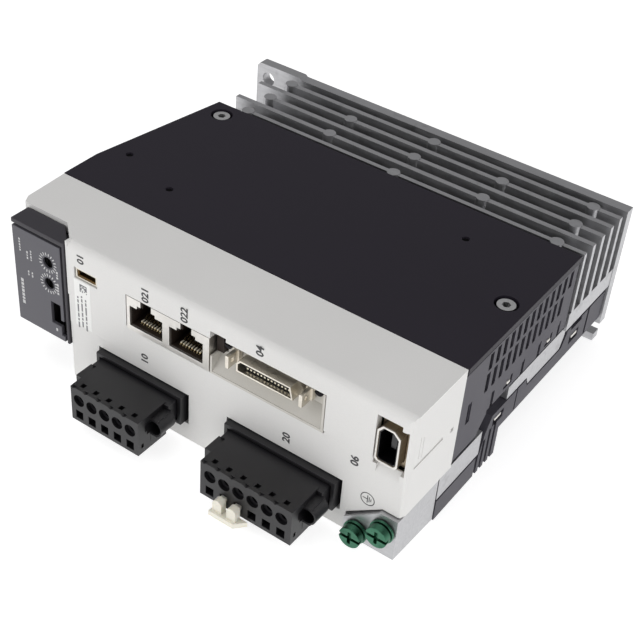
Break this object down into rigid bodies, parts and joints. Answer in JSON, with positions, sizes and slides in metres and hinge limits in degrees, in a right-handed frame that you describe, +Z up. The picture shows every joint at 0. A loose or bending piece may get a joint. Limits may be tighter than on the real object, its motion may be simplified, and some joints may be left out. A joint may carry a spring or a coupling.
{
  "type": "servo drive",
  "caption": "Compact book-format servo drive with heatsink and mounting plate, white connector front, pull-off terminal plugs, rotary switches and earth screws.",
  "frame": {"origin": "centre of the bounding box on the surface that the drive lies on (its left side down)", "axes": "+X down the drive from the display end to the earth terminals, +Y from the connector front to the mounting plate, +Z up, the drive's right-hand side"},
  "size_m": [0.1504, 0.154, 0.055],
  "materials": {
    "cast_aluminium": "satin",
    "dark_case": "matte",
    "dark_panel": "matte",
    "bright_steel": "satin",
    "white_shell": "satin",
    "grey_faceplate": "satin",
    "black_plastic": "matte",
    "gold_contact": "satin",
    "circuit_board": "satin",
    "nickel_shell": "satin",
    "tinned_steel": "satin",
    "plug_black": "matte",
    "cream_plastic": "satin",
    "green_steel": "satin",
    "capacitor_sleeve": "satin"
  },
  "bodies": {
    "chassis": {"heatsink_chassis": "cast_aluminium", "case_body": "dark_case", "side_cover": "dark_panel", "case_screw_1": "bright_steel", "case_screw_2": "bright_steel", "lower_cover": "dark_case", "front_cover": "white_shell", "io_recess": "white_shell", "display_bezel": "dark_panel", "display_faceplate": "grey_faceplate", "rotary_switch_1": "black_plastic", "rotary_switch_2": "black_plastic", "monitor_header": "black_plastic", "monitor_contacts": "gold_contact", "display_board": "circuit_board", "usb_shell": "nickel_shell", "usb_tongue": "black_plastic", "lan_shield": "tinned_steel", "lan_insert_1": "black_plastic", "lan_insert_2": "black_plastic", "lan_contacts_1": "gold_contact", "lan_contacts_2": "gold_contact", "io_shell": "nickel_shell", "io_insert": "black_plastic", "io_latch_1": "nickel_shell", "io_latch_2": "nickel_shell", "io_screw": "bright_steel", "encoder_shell": "nickel_shell", "encoder_insert": "black_plastic", "power_header": "plug_black", "motor_header": "plug_black", "power_board": "circuit_board", "control_board": "circuit_board", "power_module": "black_plastic", "bus_capacitor_1": "capacitor_sleeve", "bus_capacitor_2": "capacitor_sleeve", "relay": "black_plastic", "transformer": "black_plastic", "board_connector": "black_plastic", "standoff_1": "bright_steel", "standoff_2": "bright_steel", "standoff_3": "bright_steel"},
    "clamp_lever": {"clamp_lever": "cream_plastic"},
    "earth_screw_1": {"earth_screw_1": "green_steel"},
    "earth_screw_2": {"earth_screw_2": "green_steel"},
    "earth_washer_1": {"earth_washer_1": "green_steel"},
    "earth_washer_2": {"earth_washer_2": "green_steel"},
    "motor_plug": {"motor_plug": "plug_black"},
    "power_plug": {"power_plug": "plug_black"},
    "rotary_dial_1": {"rotary_dial_1": "black_plastic"},
    "rotary_dial_2": {"rotary_dial_2": "black_plastic"}
  },
  "joints": [
    {"name": "rotary_dial_1_turn", "type": "hinge", "parent": "chassis", "child": "rotary_dial_1", "pos_m": [-0.0567, -0.0554, 0.0434], "axis": [0, -1, 0], "continuous": true},
    {"name": "rotary_dial_2_turn", "type": "hinge", "parent": "chassis", "child": "rotary_dial_2", "pos_m": [-0.0567, -0.0554, 0.0355], "axis": [0, -1, 0], "continuous": true},
    {"name": "power_plug_pull", "type": "slide", "parent": "chassis", "child": "power_plug", "axis": [0, -1, 0], "range_m": [0, 0.025]},
    {"name": "motor_plug_pull", "type": "slide", "parent": "chassis", "child": "motor_plug", "axis": [0, -1, 0], "range_m": [0, 0.025]},
    {"name": "clamp_lever_press", "type": "hinge", "parent": "motor_plug", "child": "clamp_lever", "pos_m": [0.02872, -0.0749, 0.0082], "axis": [1, 0, 0], "range_deg": [-7, 0]},
    {"name": "earth_washer_1_lift", "type": "slide", "parent": "chassis", "child": "earth_washer_1", "axis": [0, -1, 0], "range_m": [0, 0.0021]},
    {"name": "earth_screw_1_turn", "type": "hinge", "parent": "earth_washer_1", "child": "earth_screw_1", "pos_m": [0.0617, -0.0597, 0.006], "axis": [0, -1, 0], "range_deg": [0, 1081]},
    {"name": "earth_washer_2_lift", "type": "slide", "parent": "chassis", "child": "earth_washer_2", "axis": [0, -1, 0], "range_m": [0, 0.0021]},
    {"name": "earth_screw_2_turn", "type": "hinge", "parent": "earth_washer_2", "child": "earth_screw_2", "pos_m": [0.0701, -0.0597, 0.0119], "axis": [0, -1, 0], "range_deg": [0, 1081]}
  ],
  "couplings": [
    {"joint": "earth_screw_1_turn", "follows": "earth_washer_1_lift", "rad_per_m": 8976},
    {"joint": "earth_screw_2_turn", "follows": "earth_washer_2_lift", "rad_per_m": 8976}
  ]
}
